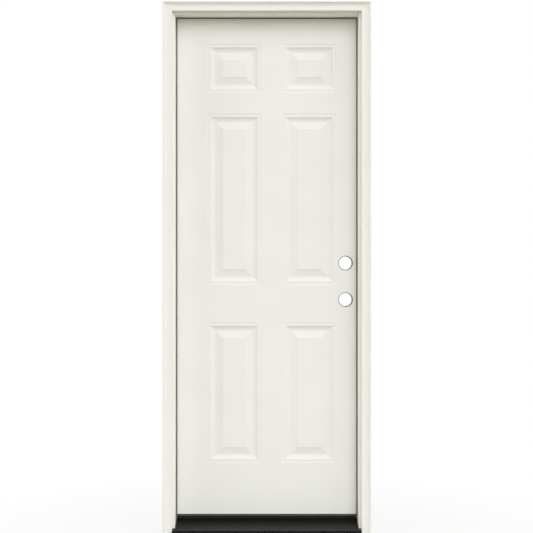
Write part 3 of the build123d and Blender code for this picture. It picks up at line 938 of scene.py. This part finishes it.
# Lamps as (degrees right of the outdoor side, degrees above level, strength)
lamps = {
    "key": (15.0, 25.0, 0.87),
    "key_high": (10.0, 45.0, 0.38),
    "front_left": (-15.0, 25.0, 0.32),
    "front_right": (45.0, 27.0, 0.5),
    "side_right": (72.0, 15.0, 0.4),
    "side_left": (-72.0, 25.0, 0.85),
    "indoor_right": (145.0, 32.0, 1.1),
    "indoor_left": (-150.0, 30.0, 1.1),
}


def white_to_camera(tree, share):
    """Sets a share to 1 for the rays that should see plain white."""
    path = tree.nodes.new("ShaderNodeLightPath")
    seen = path.outputs["Is Camera Ray"]
    for kind in ("Is Glossy Ray", "Is Transmission Ray"):
        either = tree.nodes.new("ShaderNodeMath")
        either.operation = "MAXIMUM"
        tree.links.new(seen, either.inputs[0])
        tree.links.new(path.outputs[kind], either.inputs[1])
        seen = either.outputs[0]
    tree.links.new(seen, share)


def make_world():
    world = bpy.data.worlds.new("studio")
    bpy.context.scene.world = world
    world.use_nodes = True
    tree = world.node_tree
    surround = tree.nodes["Background"]
    surround.inputs["Color"].default_value = surround_light + (1.0,)
    white = tree.nodes.new("ShaderNodeBackground")
    white.inputs["Color"].default_value = (1.0, 1.0, 1.0, 1.0)
    mix = tree.nodes.new("ShaderNodeMixShader")
    white_to_camera(tree, mix.inputs["Fac"])
    tree.links.new(surround.outputs[0], mix.inputs[1])
    tree.links.new(white.outputs[0], mix.inputs[2])
    tree.links.new(mix.outputs[0], tree.nodes["World Output"].inputs["Surface"])


def floor_material():
    """Pale floor that keeps a soft shadow near the door and fades into the background."""
    material = new_material("pale_floor", floor_colour, floor_roughness, specular=0.0)
    tree = material.node_tree
    glow = add_node(material, "ShaderNodeEmission", Color=(1.0, 1.0, 1.0, 1.0), Strength=1.0)
    mix = add_node(material, "ShaderNodeMixShader")
    length = add_node(material, "ShaderNodeVectorMath")
    length.operation = "LENGTH"
    link(material, object_place(material), length.inputs[0])
    share = spread(material, length.outputs["Value"], 1 - shadow_share, 1.0, 0.0, shadow_reach)
    seen = add_node(material, "ShaderNodeMath")
    seen.operation = "MULTIPLY"
    link(material, share, seen.inputs[0])
    white_to_camera(tree, seen.inputs[1])
    link(material, seen.outputs[0], mix.inputs["Fac"])
    link(material, shader_of(material).outputs[0], mix.inputs[1])
    link(material, glow.outputs[0], mix.inputs[2])
    link(material, mix.outputs[0], tree.nodes["Material Output"].inputs["Surface"])
    return material


def make_floor():
    work = bmesh.new()
    bmesh.ops.create_circle(work, cap_ends=True, radius=floor_radius, segments=floor_segments)
    mesh = bpy.data.meshes.new("floor")
    work.to_mesh(mesh)
    work.free()
    mesh.materials.append(floor_material())
    floor = bpy.data.objects.new("floor", mesh)
    floor.location.z = -floor_sink * mm
    bpy.context.scene.collection.objects.link(floor)


def broad_lamp(name, azimuth, elevation, strength):
    """Even light from far off, wide enough to leave soft shadows."""
    data = bpy.data.lights.new(name, "SUN")
    data.energy = strength
    data.color = lamp_tint
    data.angle = math.radians(lamp_spread)
    lamp = bpy.data.objects.new(name, data)
    turn = math.radians(azimuth)
    rise = math.radians(elevation)
    towards = Vector((math.sin(turn) * math.cos(rise), -math.cos(turn) * math.cos(rise), math.sin(rise)))
    lamp.rotation_euler = (-towards).to_track_quat("-Z", "Y").to_euler()
    bpy.context.scene.collection.objects.link(lamp)


def make_camera():
    data = bpy.data.cameras.new("camera")
    data.lens = camera_lens
    data.sensor_width = camera_sensor
    camera = bpy.data.objects.new("camera", data)
    camera.location = camera_place
    camera.rotation_euler = (math.radians(90), 0.0, 0.0)
    bpy.context.scene.collection.objects.link(camera)
    bpy.context.scene.camera = camera


make_world()
make_floor()
for lamp_name, (azimuth, elevation, strength) in lamps.items():
    broad_lamp(lamp_name, azimuth, elevation, strength)
make_camera()
bpy.context.scene.view_settings.view_transform = "Standard"

bpy.context.view_layer.update()
